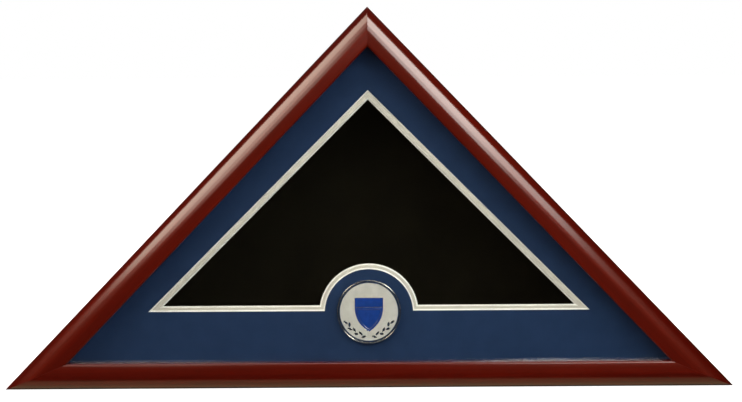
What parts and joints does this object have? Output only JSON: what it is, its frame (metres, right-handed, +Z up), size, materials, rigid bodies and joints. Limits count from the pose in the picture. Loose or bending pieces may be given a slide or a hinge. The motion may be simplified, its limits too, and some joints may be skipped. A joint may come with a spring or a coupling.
{
  "type": "folded flag display case",
  "caption": "Triangular shadow-box case for a folded burial flag: mitred mahogany moulding, glass front, blue and silver mats with an arch around a medallion, and a removable back.",
  "frame": {"origin": "under the middle of the base: middle of the width, middle of the depth from the moulding's crest to the wall bumpers, at the surface the case stands on", "axes": "+X to the right seen from the front, +Y towards the back, +Z up; the glass faces -Y"},
  "size_m": [0.68, 0.102, 0.3544],
  "materials": {
    "mahogany": "mahogany stain under gloss lacquer",
    "glass": "clear float glass",
    "spacer_black": "matte",
    "mat_blue": "matte surface paper on white-core mat board",
    "mat_silver": "satin silver surface paper on white-core mat board",
    "pine": "plain softwood",
    "medal_nickel": "satin nickel plate over a die casting",
    "enamel_navy": "gloss enamel",
    "enamel_blue": "gloss translucent enamel",
    "foam_tape": "closed-cell foam tape",
    "hardboard": "tempered hardboard",
    "velvet_black": "short-pile velvet",
    "brass_plate": "brass-plated steel",
    "steel": "bright zinc plate",
    "bumper_clear": "clear polyurethane"
  },
  "bodies": {
    "case": {"left_rail": "mahogany", "right_rail": "mahogany", "bottom_rail": "mahogany", "corner_v_nails": "steel", "front_glass": "glass", "spacer_left": "spacer_black", "spacer_right": "spacer_black", "spacer_bottom": "spacer_black", "blue_mat": "mat_blue", "silver_mat": "mat_silver", "mat_stop_left": "pine", "mat_stop_right": "pine", "mat_stop_bottom": "pine", "medallion_disc": "medal_nickel", "medallion_enamel_ring": "enamel_navy", "medallion_shield": "enamel_blue", "medallion_laurel": "enamel_navy", "medallion_pad": "foam_tape", "turn_button_screws": "steel", "turn_button_washers": "steel", "hanger_strap_left": "steel", "hanger_strap_right": "steel", "hanger_screws": "steel", "wall_bumpers": "bumper_clear"},
    "back_panel": {"back_board": "hardboard", "back_lining": "velvet_black"},
    "turn_button_left_lower": {"turn_button_left_lower": "brass_plate"},
    "turn_button_left_upper": {"turn_button_left_upper": "brass_plate"},
    "turn_button_right_lower": {"turn_button_right_lower": "brass_plate"},
    "turn_button_right_upper": {"turn_button_right_upper": "brass_plate"},
    "turn_button_bottom_left": {"turn_button_bottom_left": "brass_plate"},
    "turn_button_bottom_right": {"turn_button_bottom_right": "brass_plate"},
    "d_ring_left": {"d_ring_left": "steel"},
    "d_ring_right": {"d_ring_right": "steel"}
  },
  "joints": [
    {"name": "back_panel_lift", "type": "slide", "parent": "case", "child": "back_panel", "axis": [0, 1, 0], "range_m": [0, 0.15]},
    {"name": "turn_button_left_lower_turn", "type": "hinge", "parent": "case", "child": "turn_button_left_lower", "pos_m": [-0.24567, 0.0481, 0.08966], "axis": [0, 1, 0], "continuous": true},
    {"name": "turn_button_left_upper_turn", "type": "hinge", "parent": "case", "child": "turn_button_left_upper", "pos_m": [-0.09337, 0.0481, 0.24841], "axis": [0, 1, 0], "continuous": true},
    {"name": "turn_button_right_lower_turn", "type": "hinge", "parent": "case", "child": "turn_button_right_lower", "pos_m": [0.24567, 0.0481, 0.08966], "axis": [0, 1, 0], "continuous": true},
    {"name": "turn_button_right_upper_turn", "type": "hinge", "parent": "case", "child": "turn_button_right_upper", "pos_m": [0.09337, 0.0481, 0.24841], "axis": [0, 1, 0], "continuous": true},
    {"name": "turn_button_bottom_left_turn", "type": "hinge", "parent": "case", "child": "turn_button_bottom_left", "pos_m": [-0.15, 0.0481, 0.006], "axis": [0, 1, 0], "continuous": true},
    {"name": "turn_button_bottom_right_turn", "type": "hinge", "parent": "case", "child": "turn_button_bottom_right", "pos_m": [0.15, 0.0481, 0.006], "axis": [0, 1, 0], "continuous": true},
    {"name": "d_ring_left_swing", "type": "hinge", "parent": "case", "child": "d_ring_left", "pos_m": [-0.14875, 0.0489, 0.19068], "axis": [0.7216, 0, -0.6923], "range_deg": [0, 180]},
    {"name": "d_ring_right_swing", "type": "hinge", "parent": "case", "child": "d_ring_right", "pos_m": [0.14875, 0.0489, 0.19068], "axis": [0.7216, 0, 0.6923], "range_deg": [0, 180]}
  ]
}
